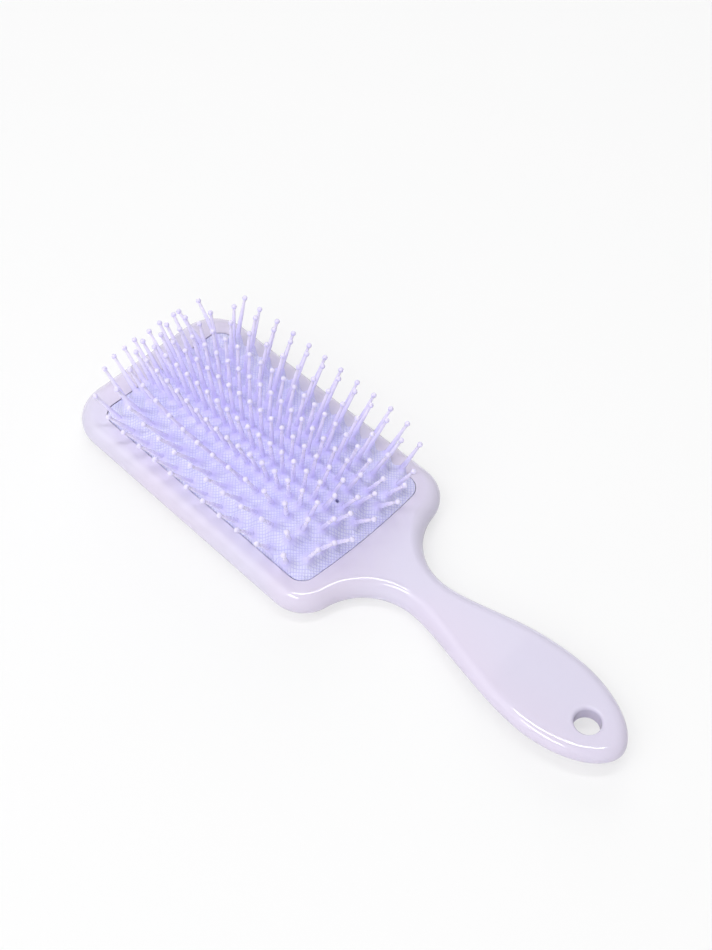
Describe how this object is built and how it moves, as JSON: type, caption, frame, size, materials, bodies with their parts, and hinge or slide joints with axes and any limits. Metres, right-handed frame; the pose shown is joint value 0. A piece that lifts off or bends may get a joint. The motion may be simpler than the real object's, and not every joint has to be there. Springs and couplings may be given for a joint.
{
  "type": "paddle hair brush",
  "caption": "Rectangular paddle hair brush with a glossy one-piece frame and handle, a domed rubber cushion and rows of fanned, ball-tipped pins.",
  "frame": {"origin": "middle of the brush on the surface that it lies on", "axes": "+Y from the handle's tip to the head end, +Z the way the pins point, +X to the right"},
  "size_m": [0.0804, 0.2488, 0.0402],
  "materials": {
    "body_plastic": "glossy pale lilac moulding",
    "cover_plastic": "glossy pale lilac panel",
    "frame_plastic": "plain moulded plastic, hidden",
    "cushion_rubber": "soft rubber with a fine embossed grid",
    "pin_nylon": "smooth translucent-looking nylon with paler ball tips"
  },
  "bodies": {
    "brush": {"body": "body_plastic", "back_cover": "cover_plastic", "lip_frame": "frame_plastic", "cushion": "cushion_rubber"},
    "row_01": {"pin_row_01": "pin_nylon"},
    "row_02": {"pin_row_02": "pin_nylon"},
    "row_03": {"pin_row_03": "pin_nylon"},
    "row_04": {"pin_row_04": "pin_nylon"},
    "row_05": {"pin_row_05": "pin_nylon"},
    "row_06": {"pin_row_06": "pin_nylon"},
    "row_07": {"pin_row_07": "pin_nylon"},
    "row_08": {"pin_row_08": "pin_nylon"},
    "row_09": {"pin_row_09": "pin_nylon"},
    "row_10": {"pin_row_10": "pin_nylon"},
    "row_11": {"pin_row_11": "pin_nylon"}
  },
  "joints": [
    {"name": "row_01_press", "type": "slide", "parent": "brush", "child": "row_01", "axis": [0, 0, -1], "range_m": [0, 0.0012], "stiffness_N_per_m": 300},
    {"name": "row_02_press", "type": "slide", "parent": "brush", "child": "row_02", "axis": [0, 0, -1], "range_m": [0, 0.0021], "stiffness_N_per_m": 300},
    {"name": "row_03_press", "type": "slide", "parent": "brush", "child": "row_03", "axis": [0, 0, -1], "range_m": [0, 0.00255], "stiffness_N_per_m": 300},
    {"name": "row_04_press", "type": "slide", "parent": "brush", "child": "row_04", "axis": [0, 0, -1], "range_m": [0, 0.00279], "stiffness_N_per_m": 300},
    {"name": "row_05_press", "type": "slide", "parent": "brush", "child": "row_05", "axis": [0, 0, -1], "range_m": [0, 0.00291], "stiffness_N_per_m": 300},
    {"name": "row_06_press", "type": "slide", "parent": "brush", "child": "row_06", "axis": [0, 0, -1], "range_m": [0, 0.003], "stiffness_N_per_m": 300, "deforming": ["cushion"]},
    {"name": "row_07_press", "type": "slide", "parent": "brush", "child": "row_07", "axis": [0, 0, -1], "range_m": [0, 0.00291], "stiffness_N_per_m": 300},
    {"name": "row_08_press", "type": "slide", "parent": "brush", "child": "row_08", "axis": [0, 0, -1], "range_m": [0, 0.00279], "stiffness_N_per_m": 300},
    {"name": "row_09_press", "type": "slide", "parent": "brush", "child": "row_09", "axis": [0, 0, -1], "range_m": [0, 0.00255], "stiffness_N_per_m": 300},
    {"name": "row_10_press", "type": "slide", "parent": "brush", "child": "row_10", "axis": [0, 0, -1], "range_m": [0, 0.0021], "stiffness_N_per_m": 300},
    {"name": "row_11_press", "type": "slide", "parent": "brush", "child": "row_11", "axis": [0, 0, -1], "range_m": [0, 0.0012], "stiffness_N_per_m": 300}
  ],
  "couplings": [
    {"joint": "row_01_press", "follows": "row_06_press", "ratio": 0.4},
    {"joint": "row_02_press", "follows": "row_06_press", "ratio": 0.7},
    {"joint": "row_03_press", "follows": "row_06_press", "ratio": 0.85},
    {"joint": "row_04_press", "follows": "row_06_press", "ratio": 0.93},
    {"joint": "row_05_press", "follows": "row_06_press", "ratio": 0.97},
    {"joint": "row_07_press", "follows": "row_06_press", "ratio": 0.97},
    {"joint": "row_08_press", "follows": "row_06_press", "ratio": 0.93},
    {"joint": "row_09_press", "follows": "row_06_press", "ratio": 0.85},
    {"joint": "row_10_press", "follows": "row_06_press", "ratio": 0.7},
    {"joint": "row_11_press", "follows": "row_06_press", "ratio": 0.4}
  ]
}
